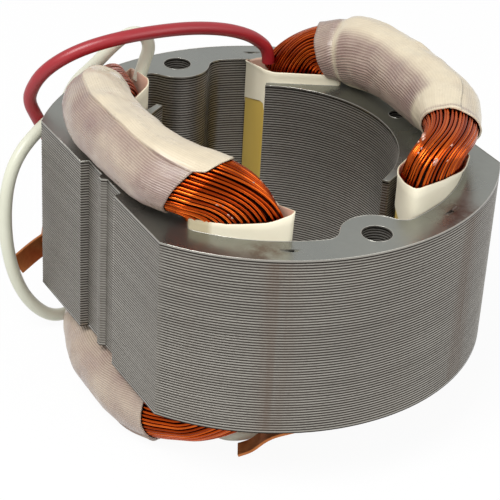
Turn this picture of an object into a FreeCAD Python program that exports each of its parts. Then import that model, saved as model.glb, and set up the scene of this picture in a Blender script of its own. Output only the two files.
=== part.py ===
import FreeCAD, Part
import math
import os

from FreeCAD import Vector

# Wound stator of a two-pole universal motor: a stack of stamped steel laminations with two
# field coils round its poles, insulated slots, taped end turns and two connecting leads.
# X runs through the two bolt holes, Y through the two poles, Z is the motor axis.
# The origin is on the motor axis, at the height of the lowest point of the taped end turns.

os.makedirs("parts", exist_ok=True)

# ---------------------------------------------------------------- driving dimensions (mm)
# laminations
lamination_thickness = 0.5
lamination_count = 66
outer_diameter = 80.0
width_across_flats = 65.6
bore_diameter = 45.0
yoke_inner_diameter = 68.0

# bolt holes and the bosses round them
bolt_inset = 5.35
bolt_hole_diameter = 5.0
boss_radius = 6.0
boss_fillet = 3.0

# poles
pole_half_gap_angle = 28.0
horn_tip_thickness = 1.2
horn_root_thickness = 4.9
horn_root_angle = 59.0
slot_end_angle = 52.0
slot_end_fillet = 1.2
slot_root_fillet = 1.5
slot_foot_fillet = 1.0
horn_tip_fillet = 0.4
pole_hole_diameter = 3.0
pole_hole_offset = 26.6

# keyed channel in each flat
channel_mouth_width = 12.9
channel_floor_width = 12.3
channel_depth = 1.35
rib_base_width = 2.1
rib_tip_width = 1.0
rib_height = 0.85

# interlock stakes of the laminations, seen as slots in the two end laminations
stake_inset = 3.1
stake_angle = 24.5
stake_length = 3.6
stake_width = 0.8

# slot insulation
liner_thickness = 0.35
liner_clearance = 0.08
liner_window_margin = 2.5
strip_thickness = 0.45
strip_clearance = 0.05
strip_overlap = 1.0

# coils
winding_clearance = 0.12
leg_overrun = 1.2
bundle_radius = 5.8
bundle_gap = 1.1
bundle_pole_offset = -0.1
bundle_yoke_offset = 0.0
tape_thickness = 0.4
tape_clearance = 0.1

# leads
lead_diameter = 2.4
red_terminal_width = 4.3
white_terminal_width = 3.4
terminal_thickness = 0.5
barrel_length = 2.6

# ---------------------------------------------------------------- derived sizes
outer_radius = outer_diameter / 2
bore_radius = bore_diameter / 2
yoke_inner_radius = yoke_inner_diameter / 2
bolt_radius = outer_radius - bolt_inset
stake_radius = outer_radius - stake_inset
half_flats = width_across_flats / 2
stack_height = lamination_count * lamination_thickness
bundle_height = bundle_gap + 2 * bundle_radius
stack_bottom = bundle_height + tape_clearance + tape_thickness
stack_top = stack_bottom + stack_height
stack_middle = (stack_bottom + stack_top) / 2
UP = Vector(0, 0, 1)
MIRROR_X = Vector(1, 0, 0)
MIRROR_Y = Vector(0, 1, 0)
CENTRE = Vector(0, 0, 0)


# ---------------------------------------------------------------- small helpers
def polar(radius, degrees, z=0.0):
    angle = math.radians(degrees)
    return Vector(radius * math.cos(angle), radius * math.sin(angle), z)


def line(start, end):
    return Part.makeLine(start, end)


def arc(centre, radius, start_degrees, end_degrees):
    circle = Part.Circle(centre, UP, radius)
    first = math.radians(start_degrees)
    last = math.radians(end_degrees)
    return Part.ArcOfCircle(circle, first, last).toShape()


def closed_wire(edges):
    return Part.Wire(Part.__sortEdges__(edges))


def prism(wire, bottom, top):
    solid = Part.Face(wire).extrude(Vector(0, 0, top - bottom))
    solid.translate(Vector(0, 0, bottom))
    return solid


def cylinder(x, y, radius, bottom, top):
    return Part.makeCylinder(radius, top - bottom, Vector(x, y, bottom), UP)


def upright_edges_at(solid, points):
    found = []
    for edge in solid.Edges:
        start = edge.Vertexes[0].Point
        end = edge.Vertexes[-1].Point
        if math.hypot(start.x - end.x, start.y - end.y) > 0.001:
            continue
        for point in points:
            if math.hypot(start.x - point.x, start.y - point.y) < 0.01:
                found.append(edge)
    return found


def four_ways(point):
    return [Vector(sx * point.x, sy * point.y, point.z) for sx in (1, -1) for sy in (1, -1)]


def to_slot(shape, front, right):
    # shapes are made for the slot at +X +Y and mirrored to the other three
    if not front:
        shape = shape.mirror(CENTRE, MIRROR_X)
    if not right:
        shape = shape.mirror(CENTRE, MIRROR_Y)
    return shape


def save(shape, name):
    shape.exportStep(os.path.join("parts", name + ".step"))


# ---------------------------------------------------------------- key points of the section
boss_centre = Vector(bolt_radius, 0, 0)
fillet_orbit = yoke_inner_radius - boss_fillet
fillet_reach = boss_radius + boss_fillet
fillet_x = (fillet_orbit ** 2 - fillet_reach ** 2 + bolt_radius ** 2) / (2 * bolt_radius)
fillet_y = math.sqrt(fillet_orbit ** 2 - fillet_x ** 2)
fillet_centre = Vector(fillet_x, fillet_y, 0)
fillet_wall_angle = math.degrees(math.atan2(fillet_y, fillet_x))
fillet_boss_angle = math.degrees(math.atan2(fillet_y, fillet_x - bolt_radius))

horn_tip_inner = polar(bore_radius, pole_half_gap_angle)
horn_tip_outer = polar(bore_radius + horn_tip_thickness, pole_half_gap_angle + 0.5)
horn_root = polar(bore_radius + horn_root_thickness, horn_root_angle)
slot_end = polar(yoke_inner_radius, slot_end_angle)


# ---------------------------------------------------------------- laminations
def window_quarter():
    # one quarter of the inner contour, from the boss round to the middle of the pole
    return [
        arc(boss_centre, boss_radius, fillet_boss_angle, 180),
        arc(fillet_centre, boss_fillet, fillet_boss_angle - 180, fillet_wall_angle),
        arc(CENTRE, yoke_inner_radius, fillet_wall_angle, slot_end_angle),
        line(slot_end, horn_root),
        line(horn_root, horn_tip_outer),
        line(horn_tip_outer, horn_tip_inner),
        arc(CENTRE, bore_radius, pole_half_gap_angle, 90),
    ]


def outline_half():
    # the outer contour above the X axis, with the keyed channel in the flat
    corner_x = math.sqrt(outer_radius ** 2 - half_flats ** 2)
    corner_angle = math.degrees(math.atan2(half_flats, corner_x))
    floor_y = half_flats - channel_depth
    right_side = [
        Vector(corner_x, half_flats, 0),
        Vector(channel_mouth_width / 2, half_flats, 0),
        Vector(channel_floor_width / 2, floor_y, 0),
        Vector(rib_base_width / 2, floor_y, 0),
        Vector(rib_tip_width / 2, floor_y + rib_height, 0),
    ]
    left_side = [Vector(-point.x, point.y, 0) for point in reversed(right_side)]
    points = right_side + left_side
    edges = [line(a, b) for a, b in zip(points, points[1:])]
    edges.append(arc(CENTRE, outer_radius, 0, corner_angle))
    edges.append(arc(CENTRE, outer_radius, 180 - corner_angle, 180))
    return edges


def stack_solid():
    quarter = window_quarter()
    window = []
    for edge in quarter:
        for sx in (1, -1):
            for sy in (1, -1):
                window.append(to_slot(edge, sx > 0, sy > 0))
    half = outline_half()
    outline = half + [edge.mirror(CENTRE, MIRROR_Y) for edge in half]
    body = prism(closed_wire(outline), stack_bottom, stack_top)
    opening = prism(closed_wire(window), stack_bottom, stack_top)
    for radius, point in (
        (slot_end_fillet, slot_end),
        (slot_root_fillet, horn_root),
        (horn_tip_fillet, horn_tip_outer),
    ):
        opening = opening.makeFillet(radius, upright_edges_at(opening, four_ways(point)))
    body = body.cut(opening)
    for side in (1, -1):
        bolt = cylinder(side * bolt_radius, 0, bolt_hole_diameter / 2, stack_bottom, stack_top)
        pin = cylinder(0, side * pole_hole_offset, pole_hole_diameter / 2, stack_bottom, stack_top)
        body = body.cut(bolt).cut(pin)
    return body


def slab(bottom, top):
    reach = outer_diameter
    corner = Vector(-reach, -reach, bottom)
    return Part.makeBox(2 * reach, 2 * reach, top - bottom, corner)


def stake_slots(bottom, top):
    slots = []
    for base in (0, 180):
        for side in (1, -1):
            angle = base + side * stake_angle
            corner = Vector(stake_radius - stake_width / 2, -stake_length / 2, bottom)
            slot = Part.makeBox(stake_width, stake_length, top - bottom, corner)
            slot.rotate(CENTRE, UP, angle)
            slots.append(slot)
    return slots


def build_laminations():
    whole = stack_solid()
    lower = stack_bottom + lamination_thickness
    upper = stack_top - lamination_thickness
    pack = whole.common(slab(lower, upper))
    top_plate = whole.common(slab(upper, stack_top)).cut(stake_slots(upper, stack_top))
    bottom_plate = whole.common(slab(stack_bottom, lower)).cut(stake_slots(stack_bottom, lower))
    save(pack, "lamination_pack")
    save(top_plate, "end_lamination_top")
    save(bottom_plate, "end_lamination_bottom")


# ---------------------------------------------------------------- slots
# Each slot is closed towards the bore by a straight insulating wall from the horn tip to the
# yoke. wall_angle says where that wall meets the yoke; None takes it to the foot of the boss.
# Each rim gives the collar's height over the lamination at distances along the horn's back,
# from the horn's tip towards the slot's end.
SLOTS = {
    "front_left": dict(
        front=True,
        right=False,
        wall_angle=23.9,
        rim=((-2.8, 5.3), (3.7, 2.9), (9.0, 1.9), (13.5, 2.0)),
    ),
    "front_right": dict(
        front=True,
        right=True,
        wall_angle=None,
        rim=((-11.4, 8.0), (-1.4, 4.4), (7.0, 3.1), (13.5, 1.8)),
    ),
    "back_right": dict(
        front=False,
        right=True,
        wall_angle=22.0,
        rim=((-3.9, 2.9), (2.0, 2.8), (8.0, 2.4), (13.5, 2.0)),
    ),
    "back_left": dict(
        front=False,
        right=False,
        wall_angle=16.0,
        rim=((-6.4, 4.2), (0.0, 3.6), (7.0, 2.7), (13.5, 2.0)),
    ),
}
LOWER_RIM = ((-12.0, 4.4), (-2.0, 3.6), (6.0, 2.8), (13.5, 2.0))

horn_run = (horn_root - horn_tip_outer).normalize()


def wall_foot(wall_angle):
    if wall_angle is None:
        return boss_centre + polar(boss_radius, fillet_boss_angle)
    return polar(yoke_inner_radius, wall_angle)


def slot_wire(wall_angle, inset):
    # the outline of one slot, closed by the straight wall and moved inwards by inset
    edges = [
        line(slot_end, horn_root),
        line(horn_root, horn_tip_outer),
        line(horn_tip_outer, wall_foot(wall_angle)),
    ]
    if wall_angle is None:
        edges.append(arc(fillet_centre, boss_fillet, fillet_boss_angle - 180, fillet_wall_angle))
        edges.append(arc(CENTRE, yoke_inner_radius, fillet_wall_angle, slot_end_angle))
    else:
        edges.append(arc(CENTRE, yoke_inner_radius, wall_angle, slot_end_angle))
    sharp = prism(closed_wire(edges), 0, 1)
    foot = wall_foot(wall_angle)
    rounds = [(slot_end_fillet, slot_end), (slot_root_fillet, horn_root), (slot_foot_fillet, foot)]
    for radius, point in rounds:
        sharp = sharp.makeFillet(radius, upright_edges_at(sharp, [point]))
    section = Part.Wire(sharp.slice(UP, 0.5)[0].Edges)
    inside = section.makeOffset2D(-inset, 2)
    inside.translate(Vector(0, 0, -0.5))
    return inside


def beyond_rim(rim, base, upwards):
    # everything beyond a rim's smooth profile, to trim a collar
    reach = outer_diameter
    points = [Vector(distance, 0, height) for distance, height in rim]
    profile = Part.BSplineCurve()
    profile.interpolate(points)
    outline = [Vector(reach, 0, points[-1].z), Vector(reach, 0, reach)]
    outline += [Vector(-reach, 0, reach), Vector(-reach, 0, points[0].z)]
    corners = [points[-1]] + outline + [points[0]]
    edges = [line(start, end) for start, end in zip(corners, corners[1:])]
    block = Part.Face(Part.Wire([profile.toShape()] + edges)).extrude(Vector(0, 2 * reach, 0))
    block.translate(Vector(0, -reach, 0))
    block.rotate(CENTRE, UP, math.degrees(math.atan2(horn_run.y, horn_run.x)))
    block.translate(horn_tip_outer)
    if not upwards:
        block = block.mirror(CENTRE, UP)
    block.translate(Vector(0, 0, base))
    return block


def wall_box(wall_angle, start, end, bottom, top, trim=0.0):
    # a box along the closing wall, from start to end mm inside it
    foot = wall_foot(wall_angle)
    along = foot - horn_tip_outer
    length = along.Length - 2 * trim
    box = Part.makeBox(length, end - start, top - bottom, Vector(trim, start, bottom))
    box.rotate(CENTRE, UP, math.degrees(math.atan2(along.y, along.x)))
    box.translate(horn_tip_outer)
    return box


def build_slot(name, front, right, wall_angle, rim):
    outer = slot_wire(wall_angle, liner_clearance)
    inner = slot_wire(wall_angle, liner_clearance + liner_thickness)
    low = stack_bottom - bundle_height
    high = stack_top + bundle_height
    liner = prism(outer, low, high).cut(prism(inner, low, high))
    liner = liner.cut(beyond_rim(rim, stack_top, True))
    liner = liner.cut(beyond_rim(LOWER_RIM, stack_bottom, False))
    depth = liner_clearance + liner_thickness
    window_low = stack_bottom + liner_window_margin
    window_high = stack_top - liner_window_margin
    window_trim = 2 * liner_thickness + liner_clearance
    window = wall_box(wall_angle, -1, depth + 0.02, window_low, window_high, window_trim)
    liner = liner.cut(window)
    strip_start = depth + strip_clearance
    strip_end = strip_start + strip_thickness
    strip = wall_box(
        wall_angle, strip_start, strip_end, stack_bottom - strip_overlap, stack_top + strip_overlap
    )
    strip = strip.common(prism(slot_wire(wall_angle, depth + strip_clearance), 0, 2 * stack_top))
    save(to_slot(liner, front, right), "slot_liner_" + name)
    save(to_slot(strip, front, right), "slot_closing_strip_" + name)


def coil_leg(wall_angle):
    inset = liner_clearance + liner_thickness + winding_clearance
    bottom = stack_bottom - leg_overrun
    top = stack_top + leg_overrun
    leg = prism(slot_wire(wall_angle, inset), bottom, top)
    strip_side = liner_clearance + liner_thickness + strip_clearance + strip_thickness
    clear = strip_side + winding_clearance
    return leg.cut(wall_box(wall_angle, -2, clear, bottom - 1, top + 1, -5))


# ---------------------------------------------------------------- end turns
# Stations along half an end turn, from the leg in the slot to the middle of the pole. Each is
# a rounded section set by its lower and upper points, angle from the pole and height above the
# lamination, and by how far it stays outside the bore and inside the yoke. The ribbon of
# wires leaves the slot wide, fans up out of the collar and closes to a round bundle.
STATIONS = [
    ((41.5, -0.5), (58.5, -0.5), 3.1, 1.0),
    ((40.0, 2.3), (60.5, 3.2), 2.9, 0.9),
    ((37.0, 2.5), (58.5, 8.6), 3.0, 0.7),
    ((32.5, 2.0), (44.5, bundle_height - 0.8), 2.4, -0.9),
    ((24.0, 1.3), (27.0, bundle_height - 0.2), 1.4, -1.3),
    ((12.0, bundle_gap), (12.5, bundle_height), 0.3, -0.4),
]
WRAPPED_FROM = 3
MIDDLE = len(STATIONS)
FACET_COUNT = 12
SPAN_COUNT = 2
LEAD_SIDE_COUNT = 8


def bundle_guides(grow):
    # smooth curves through the lower, upper and outer points of all stations, front to back
    middle = ((0.0, bundle_gap), (0.0, bundle_height), bundle_pole_offset, bundle_yoke_offset)
    front = [(1, station) for station in STATIONS]
    back = [(-1, station) for station in reversed(STATIONS)]
    points = ([], [], [])
    for side, (low, high, from_bore, from_yoke) in front + [(1, middle)] + back:
        inner_face = bore_radius + from_bore
        outer_face = yoke_inner_radius - from_yoke
        radius = (inner_face + outer_face) / 2
        half_thickness = (outer_face - inner_face) / 2
        lower = polar(radius, 90 - side * low[0], low[1])
        upper = polar(radius, 90 - side * high[0], high[1])
        centre = (lower + upper) * 0.5
        along = upper - lower
        half_height = along.Length / 2 + grow
        along.normalize()
        outward = Vector(centre.x, centre.y, 0).normalize()
        outward = (outward - along * outward.dot(along)).normalize()
        points[0].append(centre - along * half_height)
        points[1].append(centre + along * half_height)
        points[2].append(centre + outward * (half_thickness + grow))
    steps = [float(index) for index in range(len(points[0]))]
    curves = []
    for row in points:
        curve = Part.BSplineCurve()
        curve.interpolate(Points=row, Parameters=steps)
        curves.append(curve)
    return curves


def bundle_ring(guides, place):
    # one facetted oval across the bundle, with flats at its top, bottom and sides
    lower, upper, outer = [guide.value(place) for guide in guides]
    centre = (lower + upper) * 0.5
    reach = 1 / math.cos(math.pi / FACET_COUNT)
    up = (upper - centre) * reach
    out = (outer - centre) * reach
    ring = []
    for step in range(FACET_COUNT):
        angle = 2 * math.pi * (step + 0.5) / FACET_COUNT
        ring.append(centre + out * math.cos(angle) + up * math.sin(angle))
    return ring


def skinned(rings):
    # a closed solid of flat facets through rings of points
    faces = [Part.Face(Part.makePolygon(ring + [ring[0]])) for ring in (rings[0], rings[-1])]
    for near, far in zip(rings, rings[1:]):
        for step in range(FACET_COUNT):
            following = (step + 1) % FACET_COUNT
            for corners in (
                (near[step], near[following], far[following]),
                (near[step], far[following], far[step]),
            ):
                faces.append(Part.Face(Part.makePolygon(list(corners) + [corners[0]])))
    shell = Part.Shell(faces)
    shell.sewShape()
    solid = Part.Solid(shell)
    if solid.Volume < 0:
        solid.reverse()
    return solid


def end_turn(first_station, grow):
    # the bundle over one pole between two like stations, above the plane z = 0
    guides = bundle_guides(grow)
    spans = (2 * MIDDLE - 2 * first_station) * SPAN_COUNT
    places = [first_station + span / SPAN_COUNT for span in range(spans + 1)]
    return skinned([bundle_ring(guides, place) for place in places])


def placed_end_turn(shape, upper, right):
    if not upper:
        shape = shape.mirror(CENTRE, UP)
    if not right:
        shape = shape.mirror(CENTRE, MIRROR_Y)
    shape.translate(Vector(0, 0, stack_top if upper else stack_bottom))
    return shape


def build_coil(side):
    right = side == "right"
    front_slot = SLOTS["front_" + side]
    back_slot = SLOTS["back_" + side]
    coil = to_slot(coil_leg(front_slot["wall_angle"]), True, right)
    coil = coil.fuse(to_slot(coil_leg(back_slot["wall_angle"]), False, right))
    for upper in (True, False):
        coil = coil.fuse(placed_end_turn(end_turn(0, 0.0), upper, right))
    save(coil, "coil_" + side)


def build_wrap(side, level):
    shell = end_turn(WRAPPED_FROM, tape_clearance + tape_thickness)
    shell = shell.cut(end_turn(WRAPPED_FROM, tape_clearance))
    save(placed_end_turn(shell, level == "top", side == "right"), "tape_wrap_%s_%s" % (level, side))


# ---------------------------------------------------------------- leads
def lead_path(points):
    # straight runs joined by tangent arcs, each as large as its two runs allow
    edges = []
    radii = []
    start = points[0]
    for before, corner, after in zip(points, points[1:], points[2:]):
        back = before - corner
        forward = after - corner
        shorter = min(back.Length, forward.Length)
        back.normalize()
        forward.normalize()
        half_turn = (math.pi - back.getAngle(forward)) / 2
        reach = 0.45 * shorter
        radius = reach / math.tan(half_turn)
        bisector = (back + forward).normalize()
        first = corner + back * reach
        last = corner + forward * reach
        middle = corner + bisector * (radius / math.cos(half_turn) - radius)
        edges.append(line(start, first))
        edges.append(Part.Arc(first, middle, last).toShape())
        radii.append(round(radius, 1))
        start = last
    edges.append(line(start, points[-1]))
    return Part.Wire(edges), radii


def lead_section(centre, direction):
    # a polygon with the area of the round lead
    step = 2 * math.pi / LEAD_SIDE_COUNT
    corner_radius = lead_diameter / 2 * math.sqrt(step / math.sin(step))
    across = direction.cross(MIRROR_X).normalize()
    over = across.cross(direction).normalize()
    corners = []
    for index in range(LEAD_SIDE_COUNT + 1):
        turn = step * (index % LEAD_SIDE_COUNT)
        corners.append(centre + (across * math.cos(turn) + over * math.sin(turn)) * corner_radius)
    return Part.Face(Part.makePolygon(corners))


def lead(points, name):
    path, radii = lead_path(points)
    direction = points[1] - points[0]
    section = lead_section(points[0], direction)
    tube = path.makePipe(section)
    ideal = section.Area * path.Length
    print(name, "radii", radii, "length", round(path.Length, 1))
    print(name, "volume against section times length", round(tube.Volume / ideal, 4))
    save(tube, name)


def strip_section(point, direction, width_direction, width):
    across = width_direction - direction * width_direction.dot(direction)
    across = across.normalize() * (width / 2)
    normal = direction.cross(across).normalize() * (terminal_thickness / 2)
    corners = [
        point + across + normal,
        point - across + normal,
        point - across - normal,
        point + across - normal,
    ]
    return Part.Face(Part.makePolygon(corners + [corners[0]]))


def terminal(lead_points, strip_points, width_direction, width, name):
    # a bare copper strip with a round barrel at its root that takes the end of the lead
    along = (lead_points[-1] - lead_points[-2]).normalize()
    barrel = Part.makeCylinder(lead_diameter / 2, barrel_length, lead_points[-1], along)
    path, radii = lead_path(strip_points)
    direction = (strip_points[1] - strip_points[0]).normalize()
    section = strip_section(strip_points[0], direction, width_direction, width)
    strip = path.makePipe(section)
    save(barrel.fuse(strip).removeSplitter(), name)


def over_stack(x, y, above):
    return Vector(x, y, stack_top + above)


RED_ROUTE = [
    over_stack(-28.7, 14.1, leg_overrun),
    over_stack(-28.7, 14.1, 3.9),
    over_stack(-26.6, 11.4, 6.6),
    over_stack(-26.2, 6.8, 9.0),
    over_stack(-25.4, 0.2, 11.0),
    over_stack(-25.0, -8.0, 12.2),
    over_stack(-25.4, -15.6, 12.2),
    over_stack(-26.6, -21.9, 10.8),
    over_stack(-28.2, -27.0, 8.0),
    over_stack(-30.4, -30.6, 3.9),
    over_stack(-32.5, -30.6, -0.6),
    over_stack(-34.0, -28.6, -5.2),
    over_stack(-34.0, -26.4, -9.6),
    over_stack(-33.2, -25.9, -15.2),
    over_stack(-32.8, -26.3, -21.4),
    over_stack(-31.6, -27.8, -27.4),
]

RED_STRIP = [
    over_stack(-31.3, -27.6, -29.8),
    over_stack(-31.1, -30.8, -31.2),
    over_stack(-30.7, -34.6, -33.4),
]

WHITE_ROUTE = [
    over_stack(-28.9, -12.2, leg_overrun),
    over_stack(-28.9, -12.2, 4.6),
    over_stack(-28.4, -11.4, 7.3),
    over_stack(-29.1, -11.4, 8.9),
    over_stack(-30.4, -13.2, 8.8),
    over_stack(-32.0, -17.4, 6.2),
    over_stack(-34.5, -22.5, 1.8),
    over_stack(-32.9, -26.1, -2.2),
    over_stack(-30.2, -29.4, -4.6),
    over_stack(-28.0, -33.2, -7.2),
    over_stack(-27.0, -37.0, -11.6),
    over_stack(-26.8, -38.9, -20.0),
    over_stack(-26.6, -37.9, -29.4),
    over_stack(-26.4, -34.0, -37.8),
    over_stack(-27.2, -28.0, -42.8),
    over_stack(-30.6, -19.4, -45.0),
    over_stack(-32.4, -10.0, -45.0),
    over_stack(-25.8, -2.4, -45.0),
    over_stack(-12.6, -2.6, -45.0),
    over_stack(1.4, -8.4, -45.0),
    over_stack(11.8, -15.4, -45.0),
    over_stack(17.0, -18.0, -44.6),
    over_stack(20.2, -16.4, -44.3),
    over_stack(21.2, -11.9, -44.2),
    over_stack(22.8, -7.4, -42.9),
    over_stack(25.6, -6.2, -41.2),
]

WHITE_STRIP = [
    over_stack(27.8, -7.1, -39.9),
    over_stack(25.2, -11.6, -41.8),
    over_stack(23.7, -14.2, -44.9),
    over_stack(22.6, -16.15, -45.9),
]

if __name__ == "__main__":
    build_laminations()
    for slot_name, slot in SLOTS.items():
        build_slot(slot_name, **slot)
    for coil_side in ("left", "right"):
        build_coil(coil_side)
        for turn_level in ("top", "bottom"):
            build_wrap(coil_side, turn_level)
    lead(RED_ROUTE, "red_lead")
    lead(WHITE_ROUTE, "white_lead")
    terminal(RED_ROUTE, RED_STRIP, UP, red_terminal_width, "red_lead_terminal")
    sideways = Vector(-0.87, 0.5, 0)
    terminal(WHITE_ROUTE, WHITE_STRIP, sideways, white_terminal_width, "white_lead_terminal")
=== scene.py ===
import math
import random

import bpy
from mathutils import Matrix, Vector, noise


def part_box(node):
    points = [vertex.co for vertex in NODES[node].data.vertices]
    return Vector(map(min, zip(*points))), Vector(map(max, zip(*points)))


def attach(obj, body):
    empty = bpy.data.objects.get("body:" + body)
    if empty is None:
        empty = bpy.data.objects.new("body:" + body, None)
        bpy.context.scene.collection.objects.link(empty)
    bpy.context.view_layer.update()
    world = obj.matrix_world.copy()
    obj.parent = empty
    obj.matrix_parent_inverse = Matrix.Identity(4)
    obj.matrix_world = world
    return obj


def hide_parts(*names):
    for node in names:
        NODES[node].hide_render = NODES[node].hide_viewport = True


MM = 0.001
TAU = math.tau
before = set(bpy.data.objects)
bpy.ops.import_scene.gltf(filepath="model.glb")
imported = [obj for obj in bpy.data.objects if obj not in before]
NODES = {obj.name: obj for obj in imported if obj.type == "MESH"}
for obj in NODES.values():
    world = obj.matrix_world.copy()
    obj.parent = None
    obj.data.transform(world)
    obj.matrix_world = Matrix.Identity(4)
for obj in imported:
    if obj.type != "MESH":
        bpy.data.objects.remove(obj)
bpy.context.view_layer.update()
STACK_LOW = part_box("end_lamination_bottom")[0].z
STACK_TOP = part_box("end_lamination_top")[1].z
LAMINATION = 0.5 * MM
# spacing of the tape's ribs, in mm round the end turn
TAPE_RIB = 0.44


# -------- small helpers
def smooth(low, high, x):
    """From 0 at low to 1 at high, with soft ends."""
    t = min(1.0, max(0.0, (x - low) / (high - low)))
    return t * t * (3 - 2 * t)


def bell(x, middle, width):
    """1 at the middle, and falling off to 0 on both sides."""
    return math.exp(-((x - middle) / width) ** 2)


def new_object(name, data):
    thing = bpy.data.objects.new(name, data)
    bpy.context.scene.collection.objects.link(thing)
    return thing


def new_piece(name, mesh, material):
    """A piece that rides on the part, with one material."""
    piece = new_object(name, mesh)
    piece.data.materials.clear()
    piece.data.materials.append(material)
    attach(piece, "root")
    return piece


def mesh_from(name, points, faces, shade, **marks):
    """A mesh with smooth or flat faces, whose points carry a value for each mark."""
    mesh = bpy.data.meshes.new(name)
    mesh.from_pydata([tuple(p) for p in points], [], faces)
    mesh.update()
    if shade:
        mesh.polygons.foreach_set("use_smooth", [True] * len(mesh.polygons))
    for label, values in marks.items():
        mesh.attributes.new(label, "FLOAT", "POINT").data.foreach_set("value", values)
    return mesh


def build(name, points, faces, material, slot, node=None, shade=True, **marks):
    """A piece from points and faces, in place of one of the part's nodes if one is named."""
    piece = new_piece(name, mesh_from(name, points, faces, shade, **marks), material)
    if node:
        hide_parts(node)


def bridge(faces, first, rings, size):
    """Faces that join each ring of points to the next."""
    for ring in range(rings - 1):
        a = first + ring * size
        b = a + size
        for k in range(size):
            after = (k + 1) % size
            faces.append((a + k, a + after, b + after, b + k))


def distances(line):
    """How far along a line each of its points lies."""
    far = [0.0]
    for a, b in zip(line, line[1:]):
        far.append(far[-1] + (b - a).length)
    return far


def grid(faces, first, rows, wide):
    """Faces between the points of an open grid, row by row."""
    for row in range(rows - 1):
        for k in range(wide - 1):
            a = first + row * wide + k
            faces.append((a, a + 1, a + wide + 1, a + wide))


def tube(points, faces, line, radius, sides):
    """A tube along a line of points, with its sections kept from twisting."""
    ways = [(b - a).normalized() for a, b in zip(line, line[1:])]
    ways.append(ways[-1])
    across = ways[0].orthogonal().normalized()
    first = len(points)
    for place, way in zip(line, ways):
        across = (across - way * across.dot(way)).normalized()
        over = way.cross(across)
        for side in range(sides):
            turn = TAU * side / sides
            points.append(place + (across * math.cos(turn) + over * math.sin(turn)) * radius)
    bridge(faces, first, len(line), sides)


def srgb(*values):
    """A shader's colour from its display values, 0 to 255."""
    return (*(((c / 255 + 0.055) / 1.055) ** 2.4 if c > 10 else c / 255 / 12.92
              for c in values), 1.0)


class Tree:
    """A short way to write nodes and links."""

    def __init__(self, tree):
        self.tree = tree

    def add(self, kind, settings=None, **inputs):
        node = self.tree.nodes.new(kind)
        for key, value in (settings or {}).items():
            setattr(node, key, value)
        for key, value in inputs.items():
            self.put(node.inputs[key.replace("_", " ")], value)
        return node

    def put(self, socket, value):
        if isinstance(value, bpy.types.NodeSocket):
            self.tree.links.new(value, socket)
        else:
            socket.default_value = value

    def math(self, operation, a, b=0.0, c=0.0):
        node = self.add("ShaderNodeMath", {"operation": operation})
        for socket, value in zip(node.inputs, (a, b, c)):
            self.put(socket, value)
        return node.outputs[0]

    def times(self, a, b):
        return self.math("MULTIPLY", a, b)

    def backdrop(self, share, lit, white, output):
        """White in place of the lit shader for rays that see it directly or in a surface."""
        rays = self.add("ShaderNodeLightPath").outputs
        seen = self.math("MAXIMUM", rays["Is Camera Ray"], rays["Is Glossy Ray"])
        seen = self.math("MAXIMUM", seen, rays["Is Transmission Ray"])
        blend = self.add("ShaderNodeMixShader")
        for socket, value in zip(blend.inputs, (self.times(seen, share), lit, white)):
            self.put(socket, value)
        self.put(self.tree.nodes[output].inputs["Surface"], blend.outputs[0])


class Nodes(Tree):
    """A new material with its shader."""

    def __init__(self, name, roughness=0.5, metallic=0.0, specular=0.5):
        self.material = bpy.data.materials.new(name)
        self.material.use_nodes = True
        super().__init__(self.material.node_tree)
        self.shader = self.tree.nodes["Principled BSDF"]
        for label, value in (("Roughness", roughness), ("Metallic", metallic),
                             ("Specular IOR Level", specular)):
            self.shader.inputs[label].default_value = value
        self.where = self.add("ShaderNodeTexCoord").outputs["Object"]

    def colour(self, value):
        self.put(self.shader.inputs["Base Color"], value)

    def roughness(self, value):
        self.put(self.shader.inputs["Roughness"], value)

    def noise(self, scale, detail=3.0, rough=0.5, at=None):
        node = self.add("ShaderNodeTexNoise", Scale=scale, Detail=detail, Roughness=rough,
                        Vector=self.where if at is None else at)
        return node.outputs["Fac"]

    def upright(self, share):
        """The place with its height times a share, which draws noise out upwards."""
        node = self.add("ShaderNodeMapping", Vector=self.where)
        node.inputs["Scale"].default_value = (1, 1, share)
        return node.outputs[0]

    def ramp(self, fac, *stops):
        node = self.add("ShaderNodeValToRGB", Fac=fac)
        elements = node.color_ramp.elements
        while len(elements) < len(stops):
            elements.new(0.5)
        for element, (place, colour) in zip(elements, stops):
            element.position = place
            element.color = srgb(*colour) if isinstance(colour, tuple) else (*[colour] * 3, 1.0)
        return node.outputs[0]

    def mix(self, fac, a, b):
        """Two colours, each a socket or display values, mixed by a factor."""
        node = self.add("ShaderNodeMix", {"data_type": "RGBA"})
        self.put(node.inputs[0], fac)
        for socket, value in ((node.inputs[6], a), (node.inputs[7], b)):
            self.put(socket, srgb(*value) if isinstance(value, tuple) else value)
        return node.outputs[2]

    def attribute(self, name):
        return self.add("ShaderNodeAttribute", {"attribute_name": name}).outputs["Fac"]

    def bump(self, height, distance, strength):
        chained = self.shader.inputs["Normal"]
        node = self.add("ShaderNodeBump", Height=height, Distance=distance, Strength=strength)
        if chained.is_linked:
            self.put(node.inputs["Normal"], chained.links[0].from_socket)
        self.put(chained, node.outputs[0])


# -------- materials
# brown marks on the upper face by the front stakes: x and y in mm
STAINS = ((32.4, -19.2), (34.4, 17.0), (36.5, 14.6))


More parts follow.
